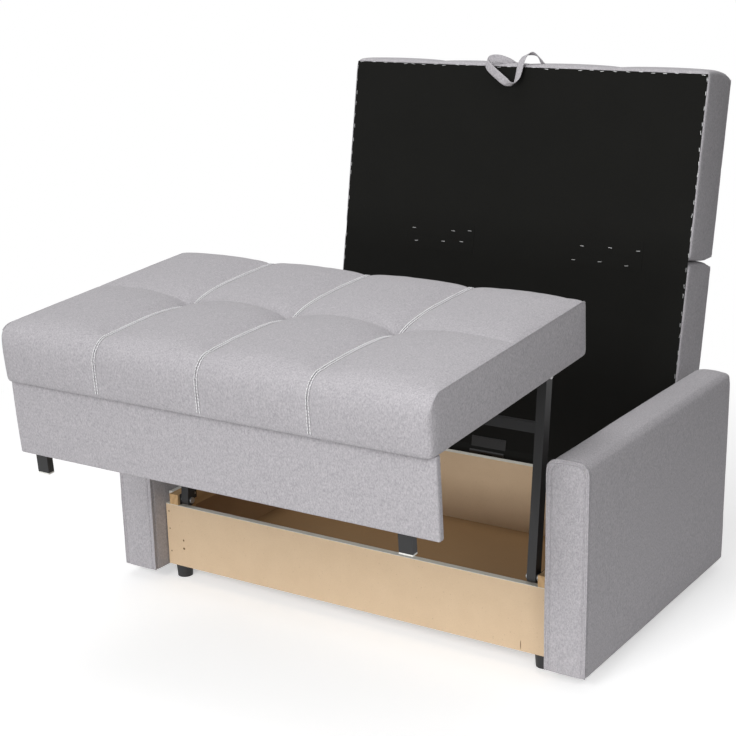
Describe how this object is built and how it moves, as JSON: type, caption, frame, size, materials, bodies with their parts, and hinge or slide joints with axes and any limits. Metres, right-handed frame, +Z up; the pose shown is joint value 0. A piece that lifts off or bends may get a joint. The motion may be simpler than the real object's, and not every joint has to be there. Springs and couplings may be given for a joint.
{
  "type": "sofa bed",
  "caption": "Two-seat sofa bed: tufted seat on swing links, a two-section folding panel behind it, upholstered arms and a storage box below.",
  "frame": {"origin": "middle of the bottom of the bounding box, on the floor, in the half-open pose of the picture", "axes": "+X to the right seen from the front, +Y to the back, +Z up"},
  "size_m": [1.5, 1.7629, 1.4121],
  "materials": {
    "grey_fabric": "woven mélange upholstery",
    "dust_cloth": "black non-woven",
    "webbing": "black webbing",
    "raw_board": "raw fibreboard",
    "edge_band": "pale band",
    "banded_board": "raw board with white edge bands",
    "hardboard": "hardboard",
    "timber": "planed pine",
    "black_plastic": "moulded",
    "dark_steel": "black powder coat",
    "white_cap": "moulded",
    "zinc": "zinc plated"
  },
  "bodies": {
    "box": {"box_front_board": "raw_board", "box_back_board": "raw_board", "box_edge_bands": "edge_band", "box_floor_panel": "hardboard", "box_corner_blocks": "timber", "box_feet": "black_plastic", "foot_screws": "zinc", "box_side_boards": "banded_board", "box_side_rails": "timber", "box_rear_rail": "timber", "pivot_blocks": "timber", "pivot_plates": "dark_steel", "pivot_plate_screws": "zinc", "arm_cover_left": "grey_fabric", "arm_cover_right": "grey_fabric", "arm_frame_left": "timber", "arm_frame_right": "timber", "arm_seam_left": "grey_fabric", "arm_seam_right": "grey_fabric", "arm_bolts": "zinc", "arm_spacers": "black_plastic", "base_hinge_fixed_leaves": "dark_steel", "base_hinge_pins": "dark_steel", "rail_hinge_screws": "dark_steel", "panel_stops": "dark_steel", "lower_pivot_bolts": "zinc", "lower_pivot_washers": "zinc"},
    "links": {"link_tube_left": "dark_steel", "link_tube_right": "dark_steel", "cross_tube": "dark_steel", "upper_pivot_bolts": "zinc"},
    "seat": {"seat_brackets": "dark_steel", "seat_bracket_screws": "zinc", "seat_cushion": "grey_fabric", "seat_frame": "timber", "seat_slats": "timber", "seat_cloth": "dust_cloth", "seat_staples": "zinc", "seat_fascia_board": "timber", "seat_fascia_cover": "grey_fabric", "seat_legs": "dark_steel", "seat_leg_caps": "white_cap", "fascia_brackets": "dark_steel", "upper_pivot_bushes": "black_plastic"},
    "lower_panel": {"lower_panel_cushion": "grey_fabric", "lower_panel_frame": "timber", "lower_panel_slats": "timber", "lower_panel_cloth": "dust_cloth", "lower_panel_staples": "zinc", "base_hinge_moving_leaves": "dark_steel", "panel_hinge_screws": "dark_steel", "fold_webbing_lower": "webbing"},
    "upper_panel": {"upper_panel_cushion": "grey_fabric", "upper_panel_frame": "timber", "upper_panel_slats": "timber", "upper_panel_cloth": "dust_cloth", "upper_panel_staples": "zinc", "fold_webbing_upper": "webbing", "pull_strap_ends": "grey_fabric"},
    "strap": {"pull_strap": "grey_fabric"}
  },
  "joints": [
    {"name": "seat_swing", "type": "hinge", "parent": "box", "child": "links", "pos_m": [0, -0.2675, 0.2445], "axis": [1, 0, 0], "range_deg": [0, 96.9]},
    {"name": "seat_level", "type": "hinge", "parent": "links", "child": "seat", "pos_m": [0, -0.21728, 0.76609], "axis": [1, 0, 0], "range_deg": [-100.8, 0]},
    {"name": "panel_base", "type": "hinge", "parent": "box", "child": "lower_panel", "pos_m": [0, 0.5045, 0.252], "axis": [1, 0, 0], "range_deg": [0, 100.1]},
    {"name": "panel_fold", "type": "hinge", "parent": "lower_panel", "child": "upper_panel", "pos_m": [0, 0.62468, 0.88676], "axis": [1, 0, 0], "range_deg": [0, 180]},
    {"name": "strap_swing", "type": "hinge", "parent": "upper_panel", "child": "strap", "pos_m": [0, 0.71845, 1.41119], "axis": [1, 0, 0], "range_deg": [-180, 0]}
  ],
  "couplings": [
    {"joint": "seat_level", "follows": "seat_swing", "ratio": -1.0402},
    {"joint": "panel_base", "follows": "seat_swing", "ratio": 1.033}
  ]
}
